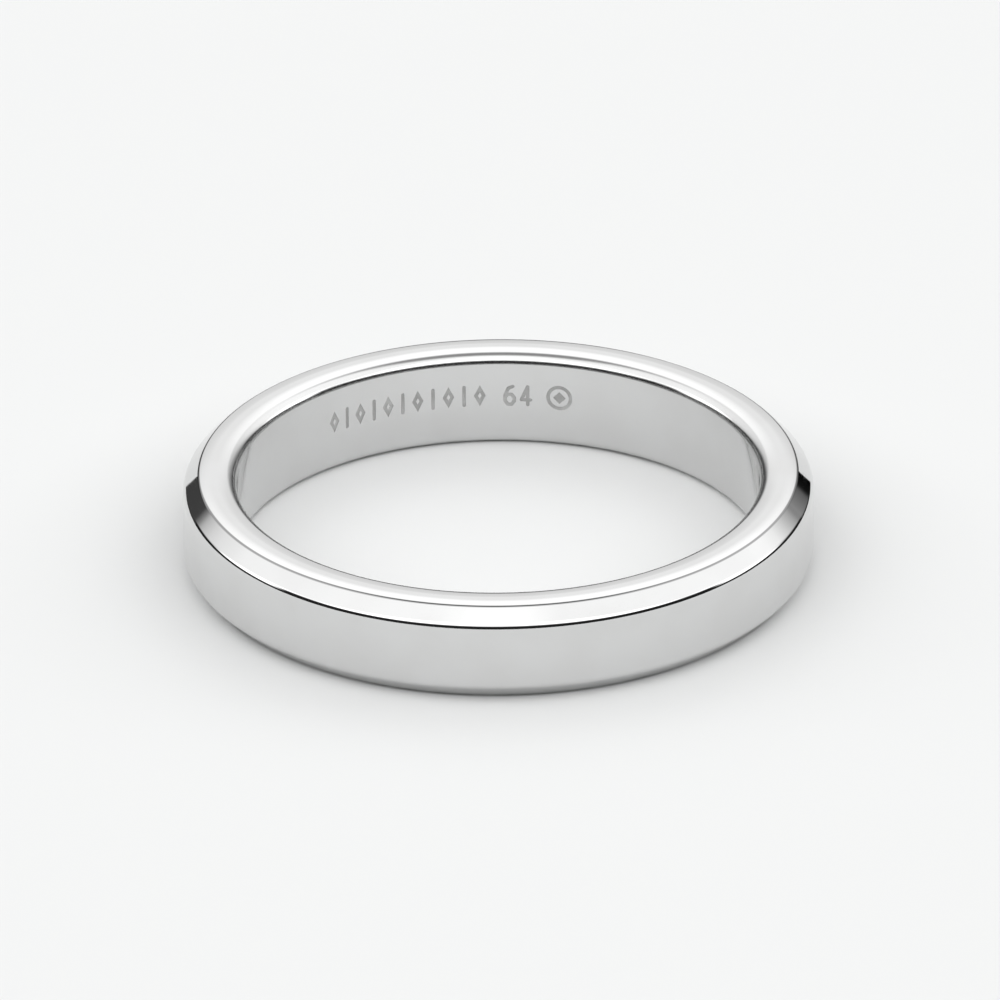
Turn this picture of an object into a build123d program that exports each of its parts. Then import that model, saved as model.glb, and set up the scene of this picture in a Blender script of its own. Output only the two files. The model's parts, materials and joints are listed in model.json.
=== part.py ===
from build123d import *
import math
import os

# Plain wedding band with bevelled edges, in millimetres.
# Origin: on the bore axis, halfway across the band's width. +Z runs along the bore.
# The engraved marks are inside the bore, about the +Y side.

# ---- Band: driving dimensions ----
ring_size = 64  # inside circumference, which is also the number engraved in the bore
band_width = 3.93
wall_thickness = 2.11
bevel = 0.66  # 45 degree bevel on both outer edges, measured along either leg
bevel_shoulder_radius = 0.45  # rounds the bevel into the outer wall
bevel_rim_radius = 0.15  # rounds the side face into the bevel
bore_edge_radius = 0.45  # rounds the bore into the side face
face_land = 0.22  # flat strip round the middle of each side face
crown_angle = 9.0  # degrees that the side face has fallen at both of its edges

# ---- Marks: driving dimensions ----
mark_depth = 0.06  # how far the strokes are cut into the bore wall
oxide_thickness = 0.04  # dark layer left on the floor of each stroke
stroke_width = 0.14
mark_height = 0.92
mark_centre_z = 0.20
digit_width = 0.50
digit_pitch = 3.6  # degrees of bore between the two digits
number_angle = 4.5  # degrees from +Y towards +X, to the middle of the number
ornament_count = 11
ornament_pitch = 3.5  # degrees from one ornament to the next
ornament_end_angle = -3.9  # the ornament nearest to the number
lozenge_width = 0.46
roundel_angle = 13.8
roundel_diameter = 1.05
roundel_core = 0.36  # side of the small square in the roundel

# ---- Worked out from the above ----
bore_radius = ring_size / (2 * math.pi)
outer_radius = bore_radius + wall_thickness
half_width = band_width / 2

# Single-stroke figures on a grid 1 wide and 1 high, as an engraving machine draws them.
DIGIT_STROKES = {
    "0": [[(0, 0.25), (0, 0.75), (0.3, 1), (0.7, 1), (1, 0.75), (1, 0.25), (0.7, 0), (0.3, 0), (0, 0.25)]],
    "1": [[(0.15, 0.75), (0.55, 1), (0.55, 0)]],
    "2": [[(0, 0.8), (0.25, 1), (0.75, 1), (1, 0.8), (1, 0.6), (0, 0), (1, 0)]],
    "3": [[(0, 0.85), (0.3, 1), (0.7, 1), (1, 0.8), (0.7, 0.55), (1, 0.3), (0.7, 0), (0.3, 0), (0, 0.15)]],
    "4": [[(1, 0.27), (0, 0.27), (0.7, 1), (0.7, 0)]],
    "5": [[(0.95, 1), (0.1, 1), (0.05, 0.57), (0.65, 0.6), (1, 0.4), (1, 0.2), (0.7, 0), (0.3, 0), (0, 0.12)]],
    "6": [[(0.85, 1), (0.35, 0.9), (0, 0.5), (0, 0.2), (0.3, 0), (0.7, 0), (1, 0.2), (1, 0.38), (0.7, 0.56),
           (0.3, 0.56), (0, 0.38)]],
    "7": [[(0, 1), (1, 1), (0.4, 0)]],
    "8": [[(0.3, 0.54), (0, 0.75), (0.3, 1), (0.7, 1), (1, 0.75), (0.7, 0.54), (0.3, 0.54), (0, 0.27), (0.3, 0),
           (0.7, 0), (1, 0.27), (0.7, 0.54)]],
    "9": [[(0.15, 0), (0.65, 0.1), (1, 0.5), (1, 0.8), (0.7, 1), (0.3, 1), (0, 0.8), (0, 0.62), (0.3, 0.44),
           (0.7, 0.44), (1, 0.62)]],
}


def bore_plane(angle):
    """Plane touching the bore wall at this angle from +Y, facing the axis, with its y axis up."""
    turn = math.radians(angle)
    outward = Vector(math.sin(turn), math.cos(turn), 0)
    along = Vector(math.cos(turn), -math.sin(turn), 0)
    return Plane(origin=outward * bore_radius + Vector(0, 0, mark_centre_z), x_dir=along, z_dir=-outward)


def draw_stroke(start, end):
    """Add one straight round-ended stroke to the sketch being drawn."""
    run = Vector(*end) - Vector(*start)
    middle = (Vector(*end) + Vector(*start)) / 2
    with Locations(middle):
        SlotCenterToCenter(run.length, stroke_width, rotation=math.degrees(math.atan2(run.Y, run.X)))


def draw_digit(digit):
    """Add one figure, centred on the sketch plane's origin."""
    reach_x = digit_width - stroke_width
    reach_y = mark_height - stroke_width
    for path in DIGIT_STROKES[digit]:
        points = [((x - 0.5) * reach_x, (y - 0.5) * reach_y) for x, y in path]
        for start, end in zip(points, points[1:]):
            draw_stroke(start, end)


def draw_lozenge():
    """Add an open lozenge, one stroke wide."""
    half_x = lozenge_width / 2
    half_y = mark_height / 2
    inset = stroke_width * math.hypot(half_x, half_y)
    inner_x = half_x - inset / half_y
    inner_y = half_y - inset / half_x
    Polygon((half_x, 0), (0, half_y), (-half_x, 0), (0, -half_y))
    Polygon((inner_x, 0), (0, inner_y), (-inner_x, 0), (0, -inner_y), mode=Mode.SUBTRACT)


def keep_between(inner, outer):
    """Trim the part being built to the wall between two radii."""
    Cylinder(outer, band_width, mode=Mode.INTERSECT)
    Cylinder(inner, 2 * band_width, mode=Mode.SUBTRACT)


# ---- Half section of the band above mid-width: the arcs, from the bore outwards ----
fall = math.radians(crown_angle)
edge_run = bore_edge_radius * (1 - math.sin(fall))  # across the rounded bore edge
rim_run = bevel_rim_radius * (math.sqrt(2) - math.sin(fall) - math.cos(fall))
crown_room = wall_thickness - bevel - face_land - edge_run - rim_run
crown_radius = crown_room / (2 * math.sin(fall) + math.cos(fall) - 1)
crown_sag = crown_radius * (1 - math.cos(fall))
inner_crown_radial = bore_radius + edge_run + crown_radius * math.sin(fall)
outer_crown_radial = inner_crown_radial + face_land
rim_radial = outer_crown_radial + (crown_radius - bevel_rim_radius) * math.sin(fall)
rim_z = half_width - crown_sag - bevel_rim_radius * math.cos(fall)
bore_edge_z = half_width - crown_sag - bore_edge_radius * math.cos(fall)
shoulder_z = half_width - bevel - bevel_shoulder_radius * math.tan(math.radians(22.5))

with BuildPart() as blank:
    with BuildSketch(Plane.XZ):
        with BuildLine():
            bore_edge = CenterArc(
                (bore_radius + bore_edge_radius, bore_edge_z), bore_edge_radius, 180, crown_angle - 90
            )
            inner_crown = CenterArc(
                (inner_crown_radial, half_width - crown_radius), crown_radius, 90 + crown_angle, -crown_angle
            )
            outer_crown = CenterArc(
                (outer_crown_radial, half_width - crown_radius), crown_radius, 90, -crown_angle
            )
            rim = CenterArc((rim_radial, rim_z), bevel_rim_radius, 90 - crown_angle, crown_angle - 45)
            shoulder = CenterArc(
                (outer_radius - bevel_shoulder_radius, shoulder_z), bevel_shoulder_radius, 45, -45
            )
            Line((bore_radius, 0), bore_edge @ 0)
            Line(inner_crown @ 1, outer_crown @ 0)
            Line(rim @ 1, shoulder @ 0)
            Line(shoulder @ 1, (outer_radius, 0))
            mirror(about=Plane.XZ)
        make_face()
    revolve(axis=Axis.Z)

# ---- Engraved strokes, drawn on planes around the bore ----
number = str(round(ring_size))
first_digit_angle = number_angle - digit_pitch * (len(number) - 1) / 2

with BuildPart() as size_strokes:
    for place, digit in enumerate(number):
        with BuildSketch(bore_plane(first_digit_angle + place * digit_pitch)):
            draw_digit(digit)
    extrude(amount=wall_thickness / 2, both=True)
    keep_between(bore_radius - mark_depth, bore_radius + mark_depth)

with BuildPart() as ornament_strokes:
    for place in range(ornament_count):
        with BuildSketch(bore_plane(ornament_end_angle - place * ornament_pitch)):
            if place % 2:
                draw_stroke((0, -(mark_height - stroke_width) / 2), (0, (mark_height - stroke_width) / 2))
            else:
                draw_lozenge()
    extrude(amount=wall_thickness / 2, both=True)
    keep_between(bore_radius - mark_depth, bore_radius + mark_depth)

with BuildPart() as roundel_strokes:
    with BuildSketch(bore_plane(roundel_angle)):
        Circle(roundel_diameter / 2)
        Circle(roundel_diameter / 2 - stroke_width, mode=Mode.SUBTRACT)
        Rectangle(roundel_core, roundel_core, rotation=45)
    extrude(amount=wall_thickness / 2, both=True)
    keep_between(bore_radius - mark_depth, bore_radius + mark_depth)

# ---- The strokes are cut out of the band, and each keeps its oxide layer as a piece ----
with BuildPart() as band:
    add(blank)
    for strokes in (size_strokes, ornament_strokes, roundel_strokes):
        add(strokes, mode=Mode.SUBTRACT)

with BuildPart() as size_mark:
    add(size_strokes)
    keep_between(bore_radius + mark_depth - oxide_thickness, outer_radius)

with BuildPart() as ornament_mark:
    add(ornament_strokes)
    keep_between(bore_radius + mark_depth - oxide_thickness, outer_radius)

with BuildPart() as roundel_mark:
    add(roundel_strokes)
    keep_between(bore_radius + mark_depth - oxide_thickness, outer_radius)

# ---- Finished pieces ----
os.makedirs("parts", exist_ok=True)

band.part.label = "band"
export_step(band.part, "parts/band.step")

size_mark.part.label = "size_mark"
export_step(size_mark.part, "parts/size_mark.step")

ornament_mark.part.label = "ornament_mark"
export_step(ornament_mark.part, "parts/ornament_mark.step")

roundel_mark.part.label = "roundel_mark"
export_step(roundel_mark.part, "parts/roundel_mark.step")
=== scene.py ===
import bmesh
import bpy
import json
import math
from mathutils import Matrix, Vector


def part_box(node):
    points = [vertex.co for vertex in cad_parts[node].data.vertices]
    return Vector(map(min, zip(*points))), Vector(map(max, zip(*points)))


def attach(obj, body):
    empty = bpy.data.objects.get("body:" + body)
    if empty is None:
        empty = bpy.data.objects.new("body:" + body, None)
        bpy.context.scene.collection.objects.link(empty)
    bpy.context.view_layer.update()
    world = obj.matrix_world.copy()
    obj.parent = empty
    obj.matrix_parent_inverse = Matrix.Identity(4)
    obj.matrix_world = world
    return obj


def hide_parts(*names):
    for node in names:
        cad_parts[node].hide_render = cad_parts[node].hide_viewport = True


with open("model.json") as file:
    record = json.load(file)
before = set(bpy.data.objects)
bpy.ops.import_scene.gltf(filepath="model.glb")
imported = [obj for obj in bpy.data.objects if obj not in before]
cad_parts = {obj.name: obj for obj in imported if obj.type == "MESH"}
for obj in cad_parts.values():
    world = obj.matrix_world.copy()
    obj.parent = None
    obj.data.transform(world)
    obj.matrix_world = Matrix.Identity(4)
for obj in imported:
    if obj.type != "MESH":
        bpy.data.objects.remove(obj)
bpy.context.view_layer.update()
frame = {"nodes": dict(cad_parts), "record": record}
nodes = frame["nodes"]
scene = bpy.context.scene
mm = 0.001

# the record carries the bore; the band's box gives its outside and its width
mounts = {mount["name"]: mount for mount in frame["record"]["mounts"]}
boreRadius = mounts["bore"]["dims"]["r_mm"] * mm
lowCorner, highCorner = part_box("band")
outerRadius = highCorner[0]
halfWidth = highCorner[2]
floorLevel = lowCorner[2]

camera = {
    "height": 26.52,  # degrees above the table
    "roll": -0.456,
    "distance": 1.1995,
    "lens": 1108.1,
    "aimRight": 0.067 * mm,
    "aimUp": 0.682 * mm,
}


def buildCamera():
    data = bpy.data.cameras.new("studioCamera")
    data.lens = camera["lens"]
    data.sensor_width = 36
    data.clip_start = 0.01
    data.clip_end = 50
    holder = bpy.data.objects.new("studioCamera", data)
    scene.collection.objects.link(holder)
    tilt = math.radians(camera["height"])
    aim = Vector((camera["aimRight"], 0, camera["aimUp"]))
    back = Vector((0, -math.cos(tilt), math.sin(tilt)))
    holder.location = aim + back * camera["distance"]
    holder.rotation_euler = (-back).to_track_quat("-Z", "Y").to_euler()
    holder.rotation_euler.rotate_axis("Z", math.radians(camera["roll"]))
    scene.camera = holder


buildCamera()
print("camera placed")


class NodeBench:
    # lays nodes into one tree and wires plain numbers or sockets to their inputs
    def __init__(self, tree):
        self.tree = tree
        self.count = 0

    def add(self, kind, inputs=None, **settings):
        node = self.tree.nodes.new(kind)
        node.location = (200 * (self.count % 12), -220 * (self.count // 12))
        self.count += 1
        for key, value in settings.items():
            setattr(node, key, value)
        for key, value in (inputs or {}).items():
            self.feed(node.inputs[key], value)
        return node

    def feed(self, socket, value):
        if isinstance(value, bpy.types.NodeSocket):
            self.tree.links.new(value, socket)
        else:
            socket.default_value = value

    def math(self, operation, first, second=0.0, third=0.0):
        return self.add("ShaderNodeMath", {0: first, 1: second, 2: third}, operation=operation).outputs[0]

    def ramp(self, value, low, high, toLow=0.0, toHigh=1.0):
        inputs = {"Value": value, "From Min": low, "From Max": high, "To Min": toLow, "To Max": toHigh}
        return self.add("ShaderNodeMapRange", inputs, interpolation_type="SMOOTHSTEP").outputs["Result"]

    def blend(self, factor, first, second):
        return self.add("ShaderNodeMix", {0: factor, 2: first, 3: second}, data_type="FLOAT").outputs[0]

    def blendColour(self, factor, first, second):
        # a Mix node has one socket set per data type; its colour sockets are 6 and 7
        return self.add("ShaderNodeMix", {0: factor, 6: first, 7: second}, data_type="RGBA").outputs[2]

    def noise(self, place, scale, detail=2.0, roughness=0.5):
        inputs = {"Vector": place, "Scale": scale, "Detail": detail, "Roughness": roughness}
        return self.add("ShaderNodeTexNoise", inputs).outputs["Fac"]

    def objectPlace(self):
        return self.add("ShaderNodeTexCoord").outputs["Object"]


def newMaterial(name):
    material = bpy.data.materials.new(name)
    material.use_nodes = True
    material.node_tree.nodes.clear()
    return material, NodeBench(material.node_tree)


# the band's section, turned about +Z
band = {
    "bevel": 0.66 * mm,
    "shoulderRadius": 0.45 * mm,  # bevel into outer wall
    "rimRadius": 0.15 * mm,  # side face into bevel
    "boreEdgeRadius": 0.45 * mm,
    "faceLand": 0.22 * mm,  # flat strip in the middle of each side face
    "crownAngle": 9.0,  # degrees that the side face has fallen at both of its edges
    "arcPoints": 14,  # points on each rounded corner
    "turns": 480,  # facets round the ring
}


def measureSection():
    # where the arcs of the half section above mid-width start and end
    fall = math.radians(band["crownAngle"])
    edge, rim, shoulder = band["boreEdgeRadius"], band["rimRadius"], band["shoulderRadius"]
    edgeRun = edge * (1 - math.sin(fall))
    rimRun = rim * (math.sqrt(2) - math.sin(fall) - math.cos(fall))
    room = outerRadius - boreRadius - band["bevel"] - band["faceLand"] - edgeRun - rimRun
    crown = room / (2 * math.sin(fall) + math.cos(fall) - 1)
    landStart = boreRadius + edgeRun + crown * math.sin(fall)
    landEnd = landStart + band["faceLand"]
    sag = crown * (1 - math.cos(fall))
    crownEnd = landEnd + crown * math.sin(fall)
    return {
        "fall": fall, "edgeRun": edgeRun, "crown": crown, "sag": sag,
        "landStart": landStart, "landEnd": landEnd, "crownEnd": crownEnd,
        "rimCentre": crownEnd - rim * math.sin(fall),
        "bevelStart": crownEnd + rim * (math.sin(math.pi / 4) - math.sin(fall)),
        "bevelEnd": outerRadius - shoulder * (1 - math.sin(math.pi / 4)),
        "shoulderHeight": halfWidth - band["bevel"] - shoulder * math.tan(math.pi / 8),
    }


section = measureSection()

steel = {
    "colour": (0.690, 0.692, 0.691, 1),
    "cloudColour": (0.672, 0.672, 0.670, 1),
    "cloudScale": 420,
    "cloudRange": (0.35, 0.65),  # the part of the noise that the clouds use
    "roughness": 0.035,  # mirror polish
    "smearRoughness": 0.03,  # added where it has been handled
    "smearScale": 2600,
    "smearRange": (0.3, 0.75),
    "edgeRoughness": 0.12,  # added on the rounded bore edge, which the buff hardly reaches
    "edgeFade": 0.08 * mm,
    "paintedRimShade": (0.31, 0.31, 0.31, 1),  # painted shade: a dark line painted along the rim in place of a dark reflection there
    "rimSoftness": 0.02 * mm,
    "lineStretch": 0.0022,  # metres of pattern for each radian round the ring
    "lineScale": 5200,
    "lineStrength": 0.012,
    "lineDepth": 0.02 * mm,
}


def makeSteel():
    material, bench = newMaterial("polishedSteel")
    place = bench.objectPlace()
    axes = bench.add("ShaderNodeSeparateXYZ", {0: place}).outputs
    angle = bench.math("ARCTAN2", axes["Y"], axes["X"])
    flat = bench.add("ShaderNodeVectorMath", {0: place, 1: (1, 1, 0)}, operation="MULTIPLY").outputs[0]
    radius = bench.add("ShaderNodeVectorMath", {0: flat}, operation="LENGTH").outputs["Value"]
    # buffing runs round the ring, so its lines are long in the angle and fine across it
    along = bench.math("MULTIPLY", angle, steel["lineStretch"])
    unrolled = bench.add("ShaderNodeCombineXYZ", {0: along, 1: radius, 2: axes["Z"]}).outputs[0]
    lines = bench.noise(unrolled, steel["lineScale"], detail=4.0, roughness=0.6)
    clouds = bench.ramp(bench.noise(place, steel["cloudScale"], detail=3.0), *steel["cloudRange"])
    smears = bench.ramp(bench.noise(place, steel["smearScale"]), *steel["smearRange"])
    # the rim and the bore edge are told by their distance from the axis
    soft = steel["rimSoftness"]
    pastFace = bench.ramp(radius, section["crownEnd"] - soft, section["crownEnd"] + soft)
    beforeBevel = bench.ramp(radius, section["bevelStart"] - soft, section["bevelStart"] + soft, 1, 0)
    # mask of the painted shade along the rim
    rimShadeMask = bench.math("MULTIPLY", pastFace, beforeBevel)
    colour = bench.blendColour(clouds, steel["colour"], steel["cloudColour"])
    edgeEnd = boreRadius + section["edgeRun"]
    offWall = bench.ramp(radius, boreRadius, boreRadius + soft)
    beforeFace = bench.ramp(radius, edgeEnd - steel["edgeFade"], edgeEnd, 1, 0)
    onEdge = bench.math("MULTIPLY", offWall, beforeFace)
    roughness = bench.math("MULTIPLY_ADD", smears, steel["smearRoughness"], steel["roughness"])
    roughness = bench.math("MULTIPLY_ADD", onEdge, steel["edgeRoughness"], roughness)
    bump = bench.add("ShaderNodeBump", {
        "Strength": steel["lineStrength"], "Distance": steel["lineDepth"], "Height": lines,
    }).outputs["Normal"]
    # the base colour carries the rim's painted shade, a dark line standing in for a reflection
    shader = bench.add("ShaderNodeBsdfPrincipled", {
        "Base Color": bench.blendColour(rimShadeMask, colour, steel["paintedRimShade"]),
        "Metallic": 1.0, "Roughness": roughness, "Normal": bump,
    })
    bench.add("ShaderNodeOutputMaterial", {"Surface": shader.outputs[0]})
    return material


oxide = {
    "colour": (0.43, 0.43, 0.425, 1),
    "fadedColour": (0.54, 0.54, 0.535, 1),
    "wearScale": 1500,
    "wearRange": (0.35, 0.7),
    "metallic": 0.5,
    "roughness": 0.45,
    "grainScale": 14000,
    "grainRoughness": 0.25,
    "grainStrength": 0.25,
    "grainDepth": 0.01 * mm,
}


def makeOxide():
    material, bench = newMaterial("engravingOxide")
    place = bench.objectPlace()
    grain = bench.noise(place, oxide["grainScale"], detail=3.0, roughness=0.6)
    wear = bench.ramp(bench.noise(place, oxide["wearScale"]), *oxide["wearRange"])
    roughness = bench.math("MULTIPLY_ADD", grain, oxide["grainRoughness"], oxide["roughness"])
    bump = bench.add("ShaderNodeBump", {
        "Strength": oxide["grainStrength"], "Distance": oxide["grainDepth"], "Height": grain,
    }).outputs["Normal"]
    shader = bench.add("ShaderNodeBsdfPrincipled", {
        "Base Color": bench.blendColour(wear, oxide["colour"], oxide["fadedColour"]),
        "Metallic": oxide["metallic"], "Roughness": roughness, "Normal": bump,
    })
    bench.add("ShaderNodeOutputMaterial", {"Surface": shader.outputs[0]})
    return material


polishedSteel = makeSteel()
engravingOxide = makeOxide()
print("metal finishes made")


def sectionCorners():
    # sharp corners and their rounding radii, from the bore outwards
    fall, sag, crown = section["fall"], section["sag"], section["crown"]
    setback = crown * math.tan(fall / 2)
    # the line that falls away beyond the crown meets the bevel's line
    bevelLine = outerRadius + halfWidth - band["bevel"]
    reach = (bevelLine - section["crownEnd"] - halfWidth + sag) / (math.cos(fall) - math.sin(fall))
    rimCorner = (section["crownEnd"] + reach * math.cos(fall), halfWidth - sag - reach * math.sin(fall))
    return [
        (boreRadius, halfWidth - sag - section["edgeRun"] * math.tan(fall), band["boreEdgeRadius"]),
        (section["landStart"] - setback, halfWidth, crown),
        (section["landEnd"] + setback, halfWidth, crown),
        (*rimCorner, band["rimRadius"]),
        (outerRadius, halfWidth - band["bevel"], band["shoulderRadius"]),
    ]


def inputSocket(tree, name, kind, value):
    socket = tree.interface.new_socket(name=name, in_out="INPUT", socket_type=kind)
    if value is not None:
        socket.default_value = value
    return socket.identifier


def turnedBandTree(corners):
    tree = bpy.data.node_groups.new("turnedBand", "GeometryNodeTree")
    tree.is_modifier = True
    sockets = {
        "turns": inputSocket(tree, "Turns", "NodeSocketInt", band["turns"]),
        "arcPoints": inputSocket(tree, "Arc points", "NodeSocketInt", band["arcPoints"]),
        "finish": inputSocket(tree, "Finish", "NodeSocketMaterial", None),
    }
    tree.interface.new_socket(name="Band", in_out="OUTPUT", socket_type="NodeSocketGeometry")
    bench = NodeBench(tree)
    given = bench.add("NodeGroupInput").outputs
    ring = corners + [(radial, -height, rounding) for radial, height, rounding in reversed(corners)]
    # the section starts as a plain many-sided curve whose points are sent to the corners by their index
    outline = bench.add("GeometryNodeCurvePrimitiveCircle", {"Resolution": len(ring), "Radius": 1.0})
    index = bench.add("GeometryNodeInputIndex").outputs[0]
    corner = bench.add("GeometryNodeIndexSwitch", {"Index": index}, data_type="VECTOR")
    rounding = bench.add("GeometryNodeIndexSwitch", {"Index": index}, data_type="FLOAT")
    for switch in (corner, rounding):
        while len(switch.index_switch_items) < len(ring):
            switch.index_switch_items.new()
    middle = (boreRadius + outerRadius) / 2
    for place, (radial, height, radius) in enumerate(ring):
        corner.inputs[place + 1].default_value = (radial - middle, height, 0)
        rounding.inputs[place + 1].default_value = radius
    placed = bench.add("GeometryNodeSetPosition", {
        "Geometry": outline.outputs[0], "Position": corner.outputs[0],
    })
    rounded = bench.add("GeometryNodeFilletCurve", {
        "Curve": placed.outputs[0], "Count": given["Arc points"], "Radius": rounding.outputs[0],
    }, mode="POLY")
    path = bench.add("GeometryNodeCurvePrimitiveCircle", {"Resolution": given["Turns"], "Radius": middle})
    swept = bench.add("GeometryNodeCurveToMesh", {
        "Curve": path.outputs[0], "Profile Curve": rounded.outputs[0],
    })
    outward = bench.add("GeometryNodeFlipFaces", {"Mesh": swept.outputs[0]})
    real = bench.add("GeometryNodeRealizeInstances", {"Geometry": outward.outputs[0]})
    finished = bench.add("GeometryNodeSetMaterial", {
        "Geometry": real.outputs[0], "Material": given["Finish"],
    })
    bench.add("NodeGroupOutput", {"Band": finished.outputs[0]})
    return tree, sockets


def plainMesh(piece):
    graph = bpy.context.evaluated_depsgraph_get()
    return bpy.data.meshes.new_from_object(piece.evaluated_get(graph))


def turnBand():
    tree, sockets = turnedBandTree(sectionCorners())
    blank = bpy.data.objects.new("turnedBand", bpy.data.meshes.new("turnedBand"))
    scene.collection.objects.link(blank)
    modifier = blank.modifiers.new("turn", "NODES")
    modifier.node_group = tree
    modifier[sockets["turns"]] = band["turns"]
    modifier[sockets["arcPoints"]] = band["arcPoints"]
    modifier[sockets["finish"]] = polishedSteel
    turned = plainMesh(blank)
    blank.modifiers.remove(modifier)
    blank.data = turned
    return blank


bandPiece = turnBand()
print("band turned:", len(bandPiece.data.polygons), "faces")

engraving = {
    "nodes": ("size_mark", "ornament_mark", "roundel_mark"),
    "cutterReach": 0.2 * mm,  # how far each cutter stands into the bore
    "deepest": 0.1 * mm,  # no stroke goes this far into the wall
    "mergeGap": 0.0005 * mm,
    "onSurface": 0.0001 * mm,  # nearer than this to a wall counts as on it
    "offSurface": 0.001 * mm,
}


def strokeCutter(name):
    # a stroke's oxide layer, with its inner side pulled out of the wall into the bore
    shape = bmesh.new()
    shape.from_mesh(nodes[name].data)
    bmesh.ops.remove_doubles(shape, verts=shape.verts, dist=engraving["mergeGap"])
    radii = [vertex.co.xy.length for vertex in shape.verts]
    middle = (min(radii) + max(radii)) / 2
    for vertex, radius in zip(shape.verts, radii):
        if radius < middle:
            vertex.co.xy *= (boreRadius - engraving["cutterReach"]) / radius
    bmesh.ops.recalc_face_normals(shape, faces=shape.faces)
    mesh = bpy.data.meshes.new(name + "Cutter")
    shape.to_mesh(mesh)
    shape.free()
    cutter = bpy.data.objects.new(name + "Cutter", mesh)
    scene.collection.objects.link(cutter)
    return cutter


def engraveBand(piece):
    for name in engraving["nodes"]:
        cutter = strokeCutter(name)
        modifier = piece.modifiers.new("engrave", "BOOLEAN")
        modifier.operation = "DIFFERENCE"
        modifier.solver = "EXACT"
        modifier.object = cutter
        piece.data = plainMesh(piece)
        piece.modifiers.remove(modifier)
        bpy.data.objects.remove(cutter)


def sectionNormal(radial, height):
    # the way the polished section faces at this point, as (radial, height), from its arc's centre
    if radial <= boreRadius + engraving["onSurface"]:
        return -1.0, 0.0
    if radial >= outerRadius - engraving["onSurface"]:
        return 1.0, 0.0
    fall, sag, crown = section["fall"], section["sag"], section["crown"]
    top = halfWidth - sag
    if radial <= boreRadius + section["edgeRun"]:
        edge = band["boreEdgeRadius"]
        centre = (boreRadius + edge, top - edge * math.cos(fall))
    elif radial <= section["landStart"]:
        centre = (section["landStart"], halfWidth - crown)
    elif radial <= section["landEnd"]:
        centre = (radial, 0.0)
    elif radial <= section["crownEnd"]:
        centre = (section["landEnd"], halfWidth - crown)
    elif radial <= section["bevelStart"]:
        centre = (section["rimCentre"], top - band["rimRadius"] * math.cos(fall))
    elif radial <= section["bevelEnd"]:
        centre = (radial - 1.0, abs(height) - 1.0)  # flat at 45 degrees
    else:
        centre = (outerRadius - band["shoulderRadius"], section["shoulderHeight"])
    across, up = radial - centre[0], abs(height) - centre[1]
    size = math.hypot(across, up)
    return across / size, math.copysign(up / size, height)


def shadeBand(mesh):
    # exact normals on the turned surfaces, flat ones inside the strokes
    pointNormals = []
    for vertex in mesh.vertices:
        x, y, z = vertex.co
        radius = math.hypot(x, y)
        across, up = sectionNormal(radius, z)
        pointNormals.append((across * x / radius, across * y / radius, up))
    cornerNormals = [None] * len(mesh.loops)
    for face in mesh.polygons:
        face.use_smooth = True
        radius = face.center.xy.length
        inWall = boreRadius + engraving["offSurface"] < radius < boreRadius + engraving["deepest"]
        inStroke = inWall and abs(face.center.z) < halfWidth - 2 * band["boreEdgeRadius"]
        for place, loop in zip(face.vertices, face.loop_indices):
            cornerNormals[loop] = tuple(face.normal) if inStroke else pointNormals[place]
    mesh.normals_split_custom_set(cornerNormals)


engraveBand(bandPiece)
shadeBand(bandPiece.data)
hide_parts("band")
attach(bandPiece, "root")
print("band engraved:", len(bandPiece.data.polygons), "faces")

for name in engraving["nodes"]:
    for slot in nodes[name].material_slots:
        slot.material = engravingOxide
print("strokes darkened")

studio = {
    "tableColour": (0.785, 0.791, 0.789, 1),
    "tableRoughness": 0.9,
    "tableSheen": 0.0,
    "tableReach": 0.5,
}


def buildTable():
    reach = studio["tableReach"]
    mesh = bpy.data.meshes.new("table")
    corners = [(-reach, -reach), (reach, -reach), (reach, reach), (-reach, reach)]
    mesh.from_pydata([(x, y, floorLevel) for x, y in corners], [], [(0, 1, 2, 3)])
    table = bpy.data.objects.new("table", mesh)
    scene.collection.objects.link(table)
    material, bench = newMaterial("paleTable")
    shader = bench.add("ShaderNodeBsdfPrincipled", {
        "Base Color": studio["tableColour"], "Roughness": studio["tableRoughness"],
        "Specular IOR Level": studio["tableSheen"],
    })
    bench.add("ShaderNodeOutputMaterial", {"Surface": shader.outputs[0]})
    mesh.materials.append(material)


# brightness of the light tent by its own angles: swing runs from 0 at the table's edge behind the ring,
# over the top at 90, to 180 at the near side; aside is the angle out of that middle plane
tent = {
    "middle": [(0, 0.04), (9, 0.08), (12.5, 0.87), (21, 0.95), (24, 1.0), (27, 1.16), (30, 1.34), (34, 1.5)],
    "middleHalfWidth": (5, 17),  # the pale lining straight behind the ring, fading out
    "left": [(0, 0.06), (16, 0.07), (20, 0.5), (23, 0.72), (29, 0.95), (36, 1.1), (55, 1.27), (112, 1.36)],
    "right": [(0, 0.0), (6, 0.01), (8, 0.15), (15, 0.29), (22, 0.55), (29, 0.9), (36, 1.22), (45, 1.37),
              (112, 1.32)],
    "wing": 2.4,  # lamps at the far left and right
    "wingAside": (55, 64),
    "roof": 2.3,  # lamp over the near side
    "roofSwing": (119, 124),
    "near": 0.02,
    "nearSwing": (141, 157),
    "skirtTop": (0.18, 0.27),  # dark skirt round the table's sides and near edge, as a height
    "skirtBack": (0.69, 0.735),
    "apronTop": (0.38, 0.48),  # the skirt stands higher over the near half
    "apronBack": (-0.15, 0.05),
    "seam": 0.34,  # roof seam, which bows towards the table at both ends
    "seamBow": 0.3,
    "seamSwing": (46, 70, 88, 112),
    "seamAside": (13, 26),
    "below": 0.9,
}


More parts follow.
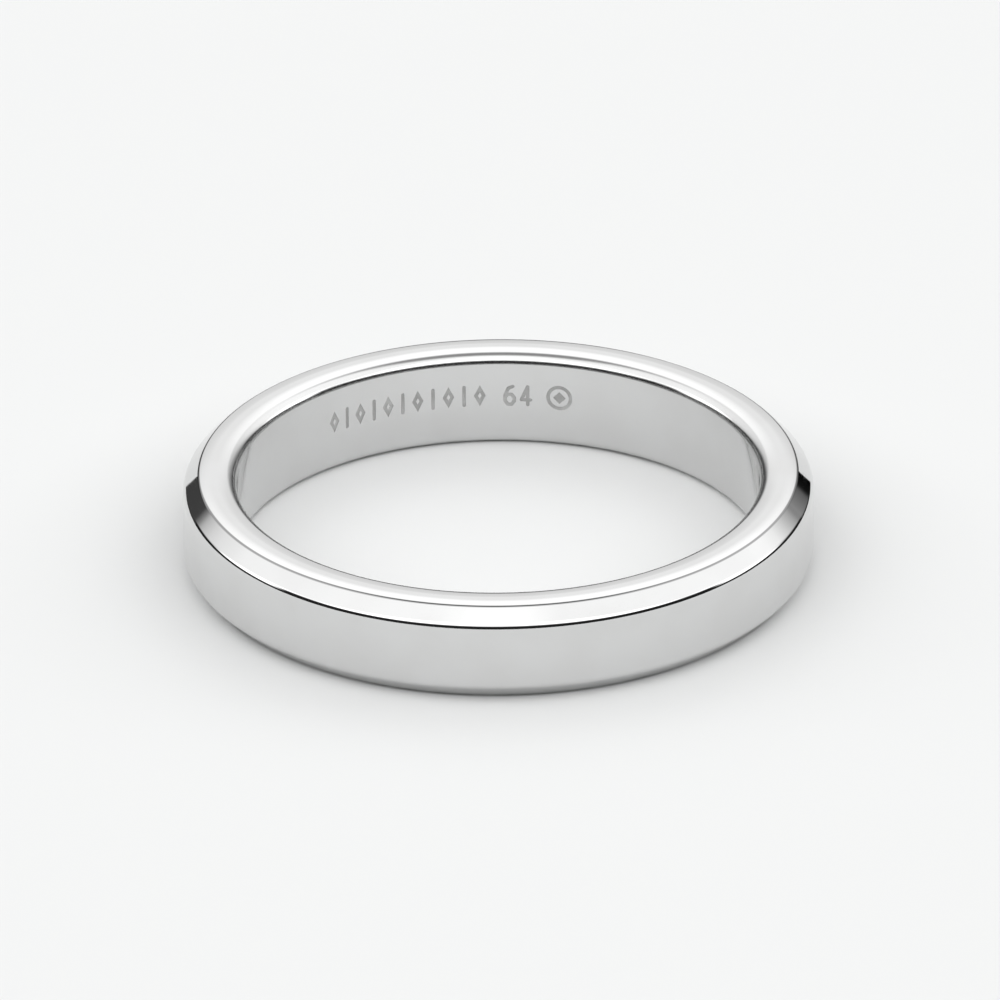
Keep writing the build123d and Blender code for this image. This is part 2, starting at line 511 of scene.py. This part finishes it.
def glowSteps(bench, swing, steps):
    # brightness against swing; a ramp holds colours only up to 1, so it works in halves
    ramp = bench.add("ShaderNodeValToRGB", {"Fac": bench.math("DIVIDE", swing, 180.0)})
    marks = ramp.color_ramp.elements
    while len(marks) < len(steps):
        marks.new(0.5)
    for mark, (angle, level) in zip(marks, steps):
        mark.position = angle / 180
        mark.color = (level / 2, level / 2, level / 2, 1)
    return bench.math("MULTIPLY", ramp.outputs["Color"], 2.0)


def lowAndNear(bench, way, top, back):
    # 1 in the part of the tent that is lower than top and nearer than back
    return bench.math("MULTIPLY", bench.ramp(way["Z"], *top, 1, 0), bench.ramp(way["Y"], *back, 1, 0))


def buildLight():
    world = bpy.data.worlds.new("studio")
    world.use_nodes = True
    scene.world = world
    world.node_tree.nodes.clear()
    bench = NodeBench(world.node_tree)
    direction = bench.add("ShaderNodeTexCoord").outputs["Generated"]
    way = bench.add("ShaderNodeSeparateXYZ", {0: direction}).outputs
    swing = bench.math("DEGREES", bench.math("ARCTAN2", way["Z"], way["Y"]))
    aside = bench.math("DEGREES", bench.math("ARCSINE", bench.math("ABSOLUTE", way["X"])))
    onRight = bench.math("GREATER_THAN", way["X"], 0.0)
    sides = bench.blend(
        onRight, glowSteps(bench, swing, tent["left"]), glowSteps(bench, swing, tent["right"])
    )
    lit = bench.blend(
        bench.ramp(aside, *tent["middleHalfWidth"]), glowSteps(bench, swing, tent["middle"]), sides
    )
    lit = bench.blend(bench.ramp(swing, *tent["roofSwing"]), lit, tent["roof"])
    lit = bench.blend(bench.ramp(aside, *tent["wingAside"]), lit, tent["wing"])
    seamStart, seamFull, seamLast, seamEnd = tent["seamSwing"]
    bowed = bench.math("MULTIPLY_ADD", aside, tent["seamBow"], swing)
    inSeam = bench.math(
        "MULTIPLY", bench.ramp(bowed, seamStart, seamFull), bench.ramp(bowed, seamLast, seamEnd, 1, 0)
    )
    inSeam = bench.math("MULTIPLY", inSeam, bench.ramp(aside, *tent["seamAside"], 1, 0))
    lit = bench.blend(inSeam, lit, tent["seam"])
    lit = bench.blend(bench.ramp(swing, *tent["nearSwing"]), lit, tent["near"])
    inSkirt = bench.math(
        "MAXIMUM", lowAndNear(bench, way, tent["skirtTop"], tent["skirtBack"]),
        lowAndNear(bench, way, tent["apronTop"], tent["apronBack"]),
    )
    lit = bench.blend(inSkirt, lit, tent["near"])
    lit = bench.blend(bench.math("GREATER_THAN", way["Z"], 0.0), tent["below"], lit)
    background = bench.add("ShaderNodeBackground", {"Color": (1, 1, 1, 1), "Strength": lit})
    bench.add("ShaderNodeOutputWorld", {"Surface": background.outputs[0]})


buildTable()
buildLight()
scene.view_settings.view_transform = "Standard"
print("studio lit")
